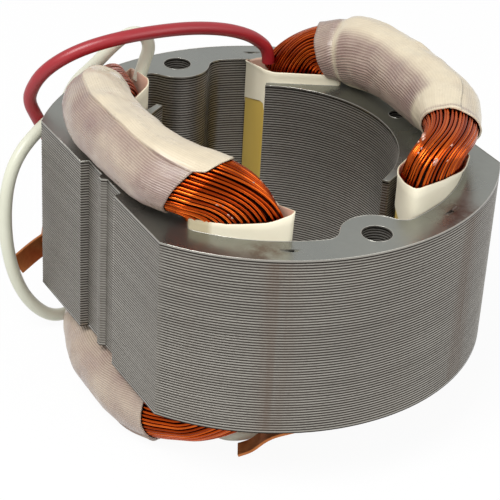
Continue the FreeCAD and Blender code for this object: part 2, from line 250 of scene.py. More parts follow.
def steel_face():
    n = Nodes("steel_face", roughness=0.30, metallic=0.92)
    fine = n.noise(900, 4, 0.6)
    broad = n.noise(60, 3, 0.55)
    tone = n.mix(broad, (132, 135, 132), (162, 163, 155))
    tone = n.mix(n.times(fine, 0.25), tone, (118, 119, 114))
    patch = n.ramp(n.noise(300, 4, 0.7), (0.38, 0.0), (0.62, 1.0))
    for x, y in STAINS:
        away = n.add("ShaderNodeVectorMath", {"operation": "DISTANCE"}, Vector=n.where)
        away.inputs[1].default_value = (x * MM, y * MM, STACK_TOP)
        near = n.ramp(n.times(away.outputs["Value"], 150), (0.25, 1.0), (0.8, 0.0))
        tone = n.mix(n.times(n.times(near, patch), 0.75), tone, (104, 82, 72))
    height = n.add("ShaderNodeSeparateXYZ", Vector=n.where).outputs["Z"]
    layer = n.math("FRACT", n.math("DIVIDE", n.math("SUBTRACT", height, STACK_LOW), LAMINATION))
    edge = n.ramp(layer, (0.40, (50, 45, 40)), (0.52, (158, 154, 146)))
    normal = n.add("ShaderNodeTexCoord").outputs["Normal"]
    facing = n.add("ShaderNodeSeparateXYZ", Vector=normal).outputs["Z"]
    sideways = n.ramp(n.math("ABSOLUTE", facing), (0.3, 1.0), (0.7, 0.0))
    n.colour(n.mix(sideways, tone, edge))
    n.roughness(n.ramp(broad, (0.3, 0.22), (0.7, 0.36)))
    n.bump(n.noise(1400, 3, 0.6), 0.00002, 0.35)
    return n.material


def steel_edges():
    n = Nodes("steel_edges", roughness=0.42, metallic=0.8)
    layer = n.attribute("layer")
    land = n.attribute("land")
    broad = n.noise(45, 3, 0.6)
    column = n.noise(300, 3, 0.7, n.upright(0.04))
    band = n.attribute("band")
    grain = n.noise(1500, 3, 0.7)
    bright = n.mix(broad, (150, 147, 140), (178, 174, 165))
    bright = n.mix(n.times(layer, 0.35), bright, (134, 130, 123))
    dark = n.mix(broad, (46, 42, 38), (68, 62, 56))
    tone = n.mix(n.ramp(land, (0.1, 0.0), (0.9, 1.0)), dark, bright)
    streak = n.times(n.ramp(column, (0.35, 0.2), (0.65, 1.0)), band)
    tone = n.mix(n.times(streak, 0.6), tone, (104, 84, 70))
    n.colour(n.mix(n.ramp(grain, (0.5, 0.0), (0.8, 0.45)), tone, (90, 85, 79)))
    n.bump(n.noise(2600, 2, 0.6, n.upright(0.2)), 0.00003, 0.25)
    return n.material


def copper_wire():
    n = Nodes("enamelled_wire", roughness=0.22, metallic=1.0)
    # the ramp's lowest stops give the inner layer's wires their painted shade; the rest spread the
    # outer wires' own tones
    tone = n.ramp(n.attribute("wire"), (0.0, (62, 20, 6)), (0.15, (78, 28, 8)),
                  (0.35, (146, 52, 12)), (0.7, (186, 76, 20)), (1.0, (214, 100, 32)))
    n.colour(n.mix(n.ramp(n.noise(220, 2), (0.45, 0.0), (0.7, 0.4)), tone, (116, 42, 12)))
    return n.material


def cotton_tape():
    n = Nodes("cotton_tape", roughness=0.40)
    around = n.attribute("around")
    clear = n.ramp(n.noise(110, 3, 0.6), (0.35, 0.35), (0.65, 1.0))
    thin = n.attribute("thin")
    waver = n.times(n.noise(120, 1), 0.35)
    turn = n.times(n.math("ADD", around, waver), TAU / TAPE_RIB)
    rib = n.math("MULTIPLY_ADD", n.math("SINE", turn), 0.5, 0.5)
    blotch = n.noise(190, 4, 0.6)
    soaked = n.times(thin, n.ramp(blotch, (0.25, 0.6), (0.6, 1.0)))
    cream = n.mix(n.noise(300, 4, 0.6), (216, 204, 178), (194, 180, 154))
    pink = n.mix(n.noise(240, 4, 0.6), (164, 143, 131), (134, 110, 102))
    tone = n.mix(soaked, cream, pink)
    # painted shade: the grooves between the ribs are darkened, more where the tape is thin, and as
    # far as clear lets the ribs show
    groove_shade = n.math("SUBTRACT", 1.0, rib)
    depth = n.times(clear, n.math("MULTIPLY_ADD", thin, 0.60, 0.06))
    n.colour(n.mix(n.times(groove_shade, depth), tone, (104, 76, 68)))
    n.roughness(n.ramp(n.noise(260, 3), (0.35, 0.24), (0.65, 0.5)))
    n.shader.inputs["Coat Weight"].default_value = 0.35
    n.shader.inputs["Coat Roughness"].default_value = 0.22
    n.bump(n.noise(2200, 2), 0.00003, 0.4)
    n.bump(n.noise(420, 4, 0.6), 0.00018, 0.6)
    n.bump(n.times(rib, n.math("MULTIPLY_ADD", thin, 0.85, 0.12)), 0.00010, 0.9)
    return n.material


def paper():
    n = Nodes("liner_paper", roughness=0.5)
    aged = n.attribute("aged")
    clean = n.mix(n.noise(140, 4), (232, 226, 204), (218, 208, 182))
    old = n.mix(n.noise(170, 4), (206, 194, 162), (186, 172, 138))
    inner = n.mix(n.noise(170, 4), (214, 180, 158), (192, 154, 132))
    tone = n.mix(n.ramp(aged, (0.1, 0.0), (0.5, 1.0)), clean, old)
    n.colour(n.mix(n.ramp(aged, (0.6, 0.0), (1.0, 1.0)), tone, inner))
    n.bump(n.noise(900, 4), 0.00004, 0.5)
    return n.material


def yellow_strip():
    n = Nodes("closing_strip", roughness=0.5)
    n.colour(n.mix(n.noise(200, 3, 0.5, n.upright(0.2)), (186, 156, 70), (204, 176, 92)))
    return n.material


def two_toned(name, first, second, spots, bump=None, **looks):
    """A material from two colours, the noise that mixes them, and a bump."""
    n = Nodes(name, **looks)
    n.colour(n.mix(n.noise(*spots), first, second))
    if bump:
        n.bump(n.noise(*bump[:2]), *bump[2:])
    return n.material


def insulation(name, light, dark):
    return two_toned(name, light, dark, (150,), (700, 2, 0.00004, 0.3), roughness=0.36)


def varnish():
    n = Nodes("dried_varnish", roughness=0.12, specular=0.7)
    spots = n.ramp(n.noise(900, 3, 0.7), (0.42, 0.0), (0.6, 1.0))
    n.colour(n.mix(spots, (196, 150, 128), (134, 62, 32)))
    return n.material


STEEL_FACE = steel_face()
STEEL_EDGES = steel_edges()
WIRE = copper_wire()
CORE_SHADE = two_toned("wire_shadow", (22, 8, 3), (40, 15, 6), (500,), roughness=0.8)
TAPE = cotton_tape()
PAPER = paper()
YELLOW = yellow_strip()
RED = insulation("red_insulation", (156, 36, 42), (136, 28, 36))
WHITE = insulation("white_insulation", (212, 212, 194), (198, 198, 178))
COPPER = two_toned("bare_copper", (216, 138, 82), (128, 68, 30), (320, 4, 0.65),
                   (700, 3, 0.00005, 0.4), roughness=0.32, metallic=0.9)
BURR = two_toned("sheared_edge", (196, 194, 186), (150, 148, 140), (700, 3, 0.7),
                 roughness=0.3, metallic=0.7)
VARNISH = varnish()


# the part's own nodes that stay in the scene
for NAME, MATERIAL in (("end_lamination_top", STEEL_FACE), ("end_lamination_bottom", STEEL_FACE),
                       ("red_lead_terminal", COPPER), ("white_lead_terminal", COPPER)):
    NODES[NAME].data.materials.clear()
    NODES[NAME].data.materials.append(MATERIAL)


# -------- laminations
# one stake along its length: place as a share of half of it, and depth in mm
STAKE_PROFILE = ((-1.0, -0.03), (-0.55, -0.16), (0.05, -0.42), (0.30, -0.48), (0.34, -0.20),
                 (0.70, -0.05), (1.0, 0.02))
STAKE_SAG = 0.04
BURR_INSET, BURR_RADIUS = 0.07, 0.065
GROOVE = 0.07 * MM
# one lamination's edge from below: share of its thickness, and depth
EDGE_PROFILE = ((0.0, GROOVE), (0.40, GROOVE), (0.52, 0.0), (0.93, 0.0))
# how far the laminations are out of line with each other, in mm
SHIFT = 0.004
# how bright lands and grooves are on the round walls and on the outer flats
LAND_LIGHT, GROOVE_LIGHT = (1.0, 0.72), (0.0, 0.36)
FLAT_FROM = 30 * MM
# the brown streaks of the front wall: degrees from +x, their spread, and what other places have
STREAK_ANGLE, STREAK_SPREAD, STREAK_LEAST = 27, 3.2, 0.12


def outline_loops(node, level):
    """The closed outlines of a plate's flat face at one height, from its own mesh."""
    mesh = NODES[node].data
    spot, edges = {}, {}
    for polygon in mesh.polygons:
        if polygon.normal.z > 0.99 and abs(polygon.center.z - level) < 1e-6:
            corners = []
            for index in polygon.vertices:
                place = mesh.vertices[index].co
                key = (round(place.x, 6), round(place.y, 6))
                spot.setdefault(key, Vector((place.x, place.y, 0)))
                corners.append(key)
            edges.update((edge, True) for edge in zip(corners, corners[1:] + corners[:1]))
    # an edge that only one face has is on the outline
    following = {a: b for (a, b) in edges if (b, a) not in edges}
    loops = []
    while following:
        start, step = next(iter(following.items()))
        loop = [start]
        del following[start]
        while step != start:
            loop.append(step)
            step = following.pop(step)
        loops.append([spot[key] for key in loop])
    return loops


def inward(loop):
    """For each point of a loop, the way into the metal."""
    ways = []
    for before, here, after in zip(loop[-1:] + loop[:-1], loop, loop[1:] + loop[:1]):
        first = (here - before).normalized()
        second = (after - here).normalized()
        left = Vector((-first.y - second.y, first.x + second.x, 0))
        length = max(0.6, left.length)
        ways.append(left / left.length * (2 / length))
    return ways


def stakes(loops):
    """The shallow V pressed into the upper face at each interlock."""
    points, faces = [], []
    for loop in loops:
        centre = sum(loop, Vector()) / 4
        sides = [b - a for a, b in zip(loop, loop[1:] + loop[:1])]
        sides.sort(key=lambda side: side.length)
        long_way, short_way = sides[-1] / 2, sides[0] / 2
        if long_way.y * centre.x < 0:
            long_way = -long_way
        first = len(points)
        for share, drop in STAKE_PROFILE:
            for side in (-1, -0.4, 0.4, 1):
                place = centre + long_way * share + short_way * side
                sag = STAKE_SAG * MM * (abs(side) < 1)
                points.append((place.x, place.y, STACK_TOP + drop * MM - sag))
        grid(faces, first, len(STAKE_PROFILE), 4)
    build("stakes", points, faces, STEEL_FACE, "core_steel", shade=False)


def burrs(loops):
    """The fine bright burr left by the press along the upper face's outlines."""
    points, faces = [], []
    for loop in loops:
        line = [p + way * BURR_INSET * MM for p, way in zip(loop, inward(loop))]
        line = [Vector((p.x, p.y, STACK_TOP)) for p in line + line[:2]]
        tube(points, faces, line, BURR_RADIUS * MM, 5)
    build("burrs", points, faces, BURR, "core_steel")


def laminations():
    """The stack's edges: each lamination a bright sheared land over a darker torn band."""
    low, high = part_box("lamination_pack")
    count = round((high.z - low.z) / LAMINATION)
    pitch = (high.z - low.z) / count
    rng = random.Random(11)
    tones = [rng.random() for _ in range(count)]
    shifts = [Vector((rng.gauss(0, SHIFT), rng.gauss(0, SHIFT), 0)) * MM for _ in range(count)]
    every = outline_loops("end_lamination_top", STACK_TOP)
    loops = sorted((loop for loop in every if len(loop) > 4), key=len)
    stakes([loop for loop in every if len(loop) == 4])
    burrs(loops)
    # the outline with the most points stands for the solid
    for number, group in enumerate((loops[:-1], loops[-1:])):
        points, faces, layers, lands, bands = [], [], [], [], []
        for loop in group:
            ways = inward(loop)
            first = len(points)
            for layer in range(count):
                bottom = low.z + layer * pitch
                for share, depth in EDGE_PROFILE:
                    for place, way in zip(loop, ways):
                        is_land = depth == 0.0
                        spot = place + way * depth + shifts[layer] * is_land
                        points.append((spot.x, spot.y, bottom + share * pitch))
                        layers.append(tones[layer])
                        flat = abs(way.y) > 0.85 * way.length and abs(place.y) > FLAT_FROM
                        lands.append((LAND_LIGHT if is_land else GROOVE_LIGHT)[flat])
                        turn = abs(math.degrees(math.atan2(place.y, place.x)))
                        bands.append(bell(turn, STREAK_ANGLE, STREAK_SPREAD) + STREAK_LEAST)
            bridge(faces, first, count * len(EDGE_PROFILE), len(loop))
        build("lamination_edges_%d" % (number + 1), points, faces, STEEL_EDGES, "core_steel",
              "lamination_pack" if number else None, shade=False,
              layer=layers, land=lands, band=bands)


laminations()

# -------- windings
# radius of the bore and of the yoke's inside, and the end turns' height over the lamination, in mm
BORE = 22.5
YOKE = 34.0
TOP = 12.7
# one end turn's stations in mm, from the tape's front end to its back end: the lower point as
# angle from the pole's middle to the front and height, the upper point as angle and height over
# TOP, then the inner radius over BORE and the outer one over YOKE
TURNS = {
    ("right", True): (
        (33.5, 2.0, 43.5, -1.0, 3.4, 1.9),
        (24.0, 1.3, 27.0, -0.1, 1.6, 2.0),
        (12.0, 1.1, 12.5, 0.1, 0.3, 0.6),
        (0.0, 1.1, 0.0, 0.1, -0.1, 0.0),
        (-12.5, 0.9, -13.0, 0.3, 0.3, 0.4),
        (-26.0, 0.5, -29.0, 0.0, 1.0, 1.2),
        (-37.0, 0.3, -45.5, -3.3, 2.2, 0.9)),
    ("left", True): (
        (32.5, 1.0, 44.0, -1.2, 2.0, 2.6),
        (24.0, 0.9, 27.0, -0.3, 1.3, 2.6),
        (12.0, 1.0, 12.5, -0.1, 0.3, 1.3),
        (0.0, 1.0, 0.0, -0.2, -0.1, 0.7),
        (-12.5, 0.9, -13.0, -0.3, 0.3, 1.2),
        (-25.0, 0.6, -28.0, -0.9, 1.2, 1.5),
        (-34.5, 0.6, -42.0, -3.4, 2.2, 1.2)),
    ("left", False): (
        (32.5, 0.6, 42.0, -2.8, 2.2, 1.5),
        (24.0, 0.8, 27.0, -0.6, 1.3, 1.6),
        (12.0, 1.0, 12.5, -0.2, 0.3, 1.0),
        (0.0, 1.0, 0.0, -0.3, -0.1, 0.6),
        (-12.5, 0.9, -13.0, -0.4, 0.3, 0.9),
        (-25.0, 0.6, -28.0, -1.0, 1.2, 1.5),
        (-34.5, 0.6, -42.0, -2.9, 2.2, 1.2)),
}
TURNS["right", False] = TURNS["left", False]
LAST = 6
# where the tape is cut at its front and its back, round the bundle: degrees from outside (the
# lamination is at -90, the bore side at 180), and the station
CUTS = {
    ("right", True): (((-180, 0.02), (-90, 0.0), (0, -0.08), (90, -0.02), (180, 0.02)),
                      ((-180, 5.86), (-90, 5.8), (0, 5.9), (90, 5.86), (180, 5.86))),
    ("left", True): (((-180, -0.1), (-120, 0.0), (-90, 0.1), (-60, 0.28), (-30, 0.34),
                      (0, 0.32), (30, 0.26), (50, 0.2), (56, 0.02), (80, -0.08), (110, -0.2),
                      (140, -0.26), (180, -0.1)),
                     ((-180, 5.75), (-90, 5.9), (0, 6.1), (90, 6.25), (120, 6.1), (180, 5.75))),
    ("left", False): (((-180, 0.7), (-90, 0.8), (0, 0.9), (90, 0.85), (180, 0.7)),
                      ((-180, 5.9), (-90, 5.8), (0, 6.0), (90, 5.95), (180, 5.9))),
}
CUTS["right", False] = CUTS["left", False]
# the tape's lengthwise edge: its place round the bundle in degrees at stations 0 to 6
EDGES = {("right", True): (75, 70, 66, 60, 58, 66, 80),
         ("left", True): (48, 58, 64, 66, 66, 64, 60),
         ("left", False): (40, 50, 58, 60, 58, 60, 60),
         ("right", False): (60, 66, 60, 66, 60, 50, 60)}
# the front slot of the right pole in mm: its corners, the angle where its yoke side starts at
# SLOT_END, and the angle where its closing wall meets the yoke
HORN_TIP = Vector((20.83, 11.31, 0))
HORN_ROOT = Vector((14.11, 23.49, 0))
SLOT_END = Vector((20.93, 26.79, 0))
SLOT_ANGLE = 52
WALL_ANGLES = {"front_left": 23.9, "front_right": 8.8, "back_right": 22.0, "back_left": 16.0}
# the bolt hole's middle, and the radius that the front right liner keeps clear of it
BOSS = Vector((34.65, 0, 0))
BOSS_CLEARANCE = 6.15
# each slot's liner: rounding at the wall's foot and at the horn's tip, the wall's shift into the
# slot for the paper and for the wires, the paper's lower edge at tip and foot, and its rim as
# height over the lamination by share of the way round from the horn's tip
COLLARS = {
    "front_left": (1.2, 1.8, -0.35, -0.35, -5.0, -5.0,
                   ((0, 1.7), (0.1, 2.0), (0.3, 2.0), (0.45, 1.9), (0.6, 2.2), (0.75, 3.3),
                    (0.83, 5.0), (0.9, 3.7), (1, 1.7))),
    "front_right": (9.0, 3.0, 0.95, 0.85, -3.4, -3.4,
                    ((0, 2.9), (0.1, 2.4), (0.3, 2.0), (0.45, 2.0), (0.56, 2.6), (0.66, 3.6),
                     (0.75, 4.6), (0.8, 5.0), (0.86, 4.9), (0.93, 4.0), (1, 2.9))),
    "back_right": (1.1, 2.4, 0.0, 3.0, -4.8, -7.9,
                   ((0, 2.0), (0.04, 2.2), (0.2, 2.3), (0.4, 2.0), (0.6, 1.4), (0.7, 0.9),
                    (0.78, 0.4), (0.82, -0.1), (0.9, 0.6), (1, 2.0))),
    "back_left": (1.3, 1.6, 1.3, 2.2, -5.0, -5.0,
                  ((0, 4.6), (0.1, 3.6), (0.3, 2.0), (0.45, 2.0), (0.6, 2.0), (0.8, 2.0),
                   (0.9, 3.4), (1, 4.6))),
}
LOWER_RIM = ((0, 3.0), (0.2, 2.2), (0.45, 2.0), (0.7, 3.0), (0.82, 3.8), (1, 3.0))
# shares of the way round a slot: where its closing wall starts, and where the front left
# liner's cleaner sheet laps over its older one, with a step in mm
WALL_START = 0.82
LAP_SHARE, LAP_STEP = 0.555, 0.12
PAPER_THICKNESS = 0.34
RIM_ROUNDING = 0.08
# the closing strip in mm: levels under the upper face, depth in the slot, and its bulge outwards
STRIP_LEVELS = (-1.2, -8, -16, -24)
STRIP_DEPTH, STRIP_BULGE = 0.42, 0.25

WIRE_RADIUS = 0.275
WIRE_COUNT = 46
# room from the liner and from the tape to the outer wires, and the layers: depth and offset
LINER_ROOM, TAPE_ROOM = 0.38, 0.12
WIRE_LAYERS = ((0.0, 0.0), (0.52, 0.5))
# how far wires stray: shares of their spacing at the slot and the tape, depth in mm, handles
STRAY_SLOT, STRAY_TAPE, STRAY_DEPTH, STRAY_RUN = 0.14, 0.10, 0.05, 0.010
# level in mm where the wires start in the slot, and stations where they reach the tape at the
# front and at the back, and how far they go on under it
WIRE_START = -1.0
TAPE_FRONT, TAPE_BACK, UNDER_TAPE = 0.05, 5.9, 0.25
CORE_DEPTH = 1.3
CORE_SIDES = 24
# how far the wires hold their direction out of the slot and out of the tape
HANDLES = {"front_left": (0.50, 0.24), "front_right": (0.68, 0.56), "back_right": (0.25, 0.35),
           "back_left": (0.40, 0.30), "lower": (0.20, 0.28)}

# the tape in mm: room over the wires, thickness at the lap, and the lap as an angle
TAPE_OVER, TAPE_THICKNESS = 0.12, 0.22
TAPE_LAP = 0.35
TAPE_COLUMNS, TAPE_ROWS = 190, 110
# mean radius round which each side's ribs are counted
RIB_RADIUS = {"right": 5.2, "left": 6.6}
# stations of the right top tape's fold and swelling, and how far in from the cut its hem lies
FOLD, SWELLING, HEM = 5.35, 5.1, 0.11

# varnish drops: sizes in mm, then how many a front end turn has and between which degrees
DROP_SIZES = (0.14, 0.17, 0.20, 0.24, 0.42)
DROPS = (("left", 13, -10, 150), ("right", 9, 40, 170))


def polar(radius, degrees, z=0.0):
    angle = math.radians(degrees)
    return Vector((radius * math.cos(angle), radius * math.sin(angle), z))


def placed(p, upper, right):
    """From one pole's own frame, in mm over the lamination, to the row frame."""
    y = p.y if right else -p.y
    z = STACK_TOP + p.z * MM if upper else STACK_LOW - p.z * MM
    return Vector((p.x * MM, y * MM, z))


def along_table(table, x):
    """A value between a table's (place, value) rows."""
    for (x0, y0), (x1, y1) in zip(table, table[1:]):
        if x <= x1:
            return y0 + (y1 - y0) * (x - x0) / (x1 - x0)
    return table[-1][1]


def square_to(way, goal):
    """Square to a way in the plan, on the goal's side."""
    square = Vector((-way.y, way.x, 0))
    return square if square.dot(goal) > 0 else -square


class Bundle:
    """The oval bundle of one end turn, from station 0 at the front to LAST at the back."""

    def __init__(self, side, upper):
        self.right = side == "right"
        self.upper = upper
        self.cuts = CUTS[side, upper]
        self.rows = []
        for low_turn, low, high_turn, high, inner, outer in TURNS[side, upper]:
            inner, outer = BORE + inner, YOKE + outer
            radius = (inner + outer) / 2
            lower = polar(radius, 90 - low_turn, low)
            top = polar(radius, 90 - high_turn, TOP + high)
            centre = (lower + top) / 2
            up = (top - lower) / 2
            out = centre.xy.to_3d().normalized()
            out = (out - up.normalized() * out.dot(up.normalized())).normalized()
            self.rows.append((centre, up, out * (outer - inner) / 2))

    def section(self, t):
        """The bundle's middle and its two half axes, on a curve through the stations."""
        index = min(LAST - 1, max(0, int(math.floor(t))))
        f = t - index
        pick = [self.rows[min(LAST, max(0, index + k))] for k in (-1, 0, 1, 2)]
        out = []
        for k in range(3):
            p0, p1, p2, p3 = (row[k] for row in pick)
            if index == 0:
                p0 = p1 * 2 - p2
            if index == LAST - 1:
                p3 = p2 * 2 - p1
            out.append(p1 + (p2 - p0) * (f / 2) + (p0 * 2 - p1 * 5 + p2 * 4 - p3) * (f * f / 2)
                       + (p1 * 3 - p0 - p2 * 3 + p3) * (f ** 3 / 2))
        return out

    def oval(self, t, phi, grow):
        centre, up, out = self.section(t)
        return (centre + up * ((1 + grow / up.length) * math.sin(phi))
                + out * ((1 + grow / out.length) * math.cos(phi)))

    def place(self, p):
        return placed(p, self.upper, self.right)

    def cut(self, front, phi):
        """The station where the tape is cut, at one place round the bundle."""
        degrees = (math.degrees(phi) + 180) % 360 - 180
        return along_table(self.cuts[0 if front else 1], degrees)


def rounded(corners):
    """A closed outline with its corners softened, from (point, radius) pairs."""
    most = 0.55
    steps = 8
    outline = []
    for index, (point, radius) in enumerate(corners):
        if not radius:
            outline.append(point)
            continue
        before = corners[index - 1][0] - point
        after = corners[(index + 1) % len(corners)][0] - point
        start = point + before.normalized() * min(radius, most * before.length)
        stop = point + after.normalized() * min(radius, most * after.length)
        for k in range(steps + 1):
            f = k / steps
            outline.append(start * (1 - f) ** 2 + point * (2 * f * (1 - f)) + stop * f * f)
    return outline


def slot_outline(name, shift):
    """A slot's outline from its horn's tip, with the closing wall moved into the slot."""
    foot_round, tip_round = COLLARS[name][:2]
    wall = WALL_ANGLES[name]
    edge = YOKE - 0.1
    foot = polar(edge, wall)
    into = square_to((foot - HORN_TIP).normalized(), HORN_ROOT - HORN_TIP)
    steps = 16
    corners = [(HORN_TIP + into * shift, tip_round), (HORN_ROOT, 1.0), (SLOT_END, 1.0)]
    arc = [polar(edge, SLOT_ANGLE + (wall - SLOT_ANGLE) * k / steps) for k in range(1, steps - 1)]
    # points close to the wall's foot would keep its corner from rounding
    corners += [(p, 0) for p in arc if (p - foot).length > 1.1 * foot_round]
    corners.append((foot + into * shift, foot_round))
    if name == "front_right":
        corners = [(BOSS + (p - BOSS) * max(1.0, BOSS_CLEARANCE / (p - BOSS).length), radius)
                   for p, radius in corners]
    return rounded(corners)


def in_slot(name, p, level, upper):
    """A point of a slot's outline at a level, in the row frame."""
    front, side = name.split("_")
    p = Vector((p.x if front == "front" else -p.x, p.y, level))
    return placed(p, upper, side == "right")


def inward_ways(outline):
    """For each point of a slot's outline, the way into the slot."""
    middle = sum(outline, Vector()) / len(outline)
    ways = []
    for index, here in enumerate(outline):
        along = outline[(index + 1) % len(outline)] - outline[index - 1]
        ways.append(square_to(along, middle - here).normalized())
    return ways


def from_middle(points, middle, way):
    """How far a ray from the middle goes before it meets the outline."""
    best = 1e9
    for a, b in zip(points, points[1:] + points[:1]):
        edge = b - a
        det = way.x * edge.y - way.y * edge.x
        if abs(det) < 1e-9:
            continue
        gap = a - middle
        distance = (gap.x * edge.y - gap.y * edge.x) / det
        share = (gap.x * way.y - gap.y * way.x) / det
        if distance > 0 and -1e-6 <= share <= 1 + 1e-6:
            best = min(best, distance)
    return best


def even_round(curve, count, offset):
    """Angles that space count points evenly round a closed curve, from its lowest point."""
    fine = 360
    places = [curve(-math.pi / 2 + TAU * k / fine) for k in range(fine + 1)]
    lengths = distances(places)
    angles = []
    k = 0
    for wire in range(count):
        goal = lengths[-1] * (wire + offset) / count
        while lengths[k + 1] < goal:
            k += 1
        f = (goal - lengths[k]) / (lengths[k + 1] - lengths[k])
        angles.append(-math.pi / 2 + TAU * (k + f) / fine)
    return angles


class Fan:
    """The bare wires from one slot's collar to the tape."""

    def __init__(self, bundle, front):
        self.bundle = bundle
        self.front = front
        self.name = ("front" if front else "back") + ("_right" if bundle.right else "_left")
        self.outline = slot_outline(self.name, COLLARS[self.name][3])
        self.ways = inward_ways(self.outline)
        self.insets = {}
        low_side = (HORN_ROOT + SLOT_END) / 2
        wall_side = (HORN_TIP + polar(YOKE, WALL_ANGLES[self.name])) / 2
        self.middle = (low_side + wall_side) / 2
        self.up = (wall_side - low_side).normalized()
        self.out = square_to(self.up, self.middle)
        self.sign = 1 if front else -1
        self.end = TAPE_FRONT if front else TAPE_BACK
        self.lift, self.run = HANDLES[self.name if bundle.upper else "lower"]

    def slot_point(self, phi, inset):
        """The point of the slot's outline, moved inwards, in one direction from its middle."""
        if inset not in self.insets:
            self.insets[inset] = [p + way * inset for p, way in zip(self.outline, self.ways)]
        way = self.up * math.sin(phi) + self.out * math.cos(phi)
        return self.middle + way * from_middle(self.insets[inset], self.middle, way)

    def path(self, at_slot, at_tape, inset, depth, spans, tail=False, vary=0.0):
        """From inside the slot up to the tape's end, and on under the tape."""
        start = self.slot_point(at_slot, inset)
        start = Vector((start.x * self.sign, start.y, WIRE_START))
        goal = self.bundle.oval(self.end, at_tape, -depth)
        leave = (goal - self.bundle.oval(self.end + 0.05 * self.sign, at_tape, -depth)).normalized()
        span = (goal - start).length
        c1 = start + Vector((0, 0, 1)) * span * (self.lift + vary)
        c2 = goal + leave * span * (self.run + vary)
        line = []
        for step in range(spans + 1):
            f = step / spans
            g = 1 - f
            line.append(start * g ** 3 + c1 * (3 * g * g * f) + c2 * (3 * g * f * f)
                        + goal * f ** 3)
        reach = self.bundle.cut(self.front, at_tape) + UNDER_TAPE * self.sign
        steps = 4
        if tail and (reach - self.end) * self.sign > 0.05:
            line += [self.bundle.oval(self.end + (reach - self.end) * k / steps, at_tape, -depth)
                     for k in range(1, steps + 1)]
        return line


def wires(points, faces, tones, rng, fan, layer, offset):
    """One layer of wires round a fan."""
    inset = LINER_ROOM + WIRE_RADIUS + layer
    depth = TAPE_ROOM + WIRE_RADIUS + layer
    at_slot = even_round(lambda phi: fan.slot_point(phi, inset), WIRE_COUNT, offset)
    at_tape = even_round(lambda phi: fan.bundle.oval(fan.end, phi, -depth), WIRE_COUNT, offset)
    step = TAU / WIRE_COUNT
    for low, high in zip(at_slot, at_tape):
        low += rng.gauss(0, STRAY_SLOT) * step
        high += rng.gauss(0, STRAY_TAPE) * step
        line = fan.path(low, high, inset, depth + abs(rng.gauss(0, STRAY_DEPTH)), 16, True,
                        rng.gauss(0, STRAY_RUN))
        # painted shade: the inner layer's wires get near-black tones as shade under the outer
        # layer; the outer layer's tones differ at random
        tone = 0.35 + 0.65 * rng.random() if layer == 0 else 0.12 * rng.random()
        tube(points, faces, [fan.bundle.place(p) for p in line], WIRE_RADIUS * MM, 7)
        tones += [tone] * (len(points) - len(tones))


def bundle_core(points, faces, bundle):
    """The inside of the bundle, a near-black tube of painted shade seen between the wires."""
    turns = [TAU * side / CORE_SIDES for side in range(CORE_SIDES)]
    front, back = (Fan(bundle, front) for front in (True, False))
    first_part, last_part = (
        list(zip(*[fan.path(phi, phi, 0.5 + CORE_DEPTH, CORE_DEPTH, 8) for phi in turns]))
        for fan in (front, back))
    count = 16
    between = [[bundle.oval(front.end + (back.end - front.end) * k / count, phi, -CORE_DEPTH)
                for phi in turns] for k in range(1, count)]
    chain = first_part + between + last_part[::-1]
    first = len(points)
    for ring in chain:
        points += [bundle.place(p) for p in ring]
    bridge(faces, first, len(chain), CORE_SIDES)


def windings(side):
    """The bare ends of one coil: its wires, and the painted shade of the inside behind them."""
    rng = random.Random(5 if side == "right" else 8)
    points, faces, tones = [], [], []
    core_points, core_faces = [], []
    for upper in (True, False):
        bundle = Bundle(side, upper)
        for front in (True, False):
            fan = Fan(bundle, front)
            for layer, offset in WIRE_LAYERS:
                wires(points, faces, tones, rng, fan, layer, offset)
        bundle_core(core_points, core_faces, bundle)
    build("wires_" + side, points, faces, WIRE, "enamelled_copper", "coil_" + side, wire=tones)
    build("wire_core_" + side, core_points, core_faces, CORE_SHADE, "enamelled_copper")


def thinness(bundle, t, past_cut, facing, past_edge, spot):
    """Where the tape is drawn thin over the wires and soaked, from 0 to about 1."""
    if not bundle.upper:
        return 0.8 + 0.3 * noise.noise(spot)
    if not bundle.right:
        tight = 1 - smooth(-4, 3, past_edge)
        return tight * (0.9 + 0.5 * noise.noise(spot * 1.2)) + 0.08
    bore_side = smooth(110, 140, facing) * (1 - smooth(215, 240, facing))
    between = bore_side * (1 - smooth(5.1, 5.3, t)) * smooth(0.7, 1.1, t)
    tight = max(smooth(5.3, 5.45, t), between)
    tight = max(tight, 0.7 * bell(past_cut, HEM, 0.03))
    return tight + (0.2 * noise.noise(spot * 1.5) + 0.05)


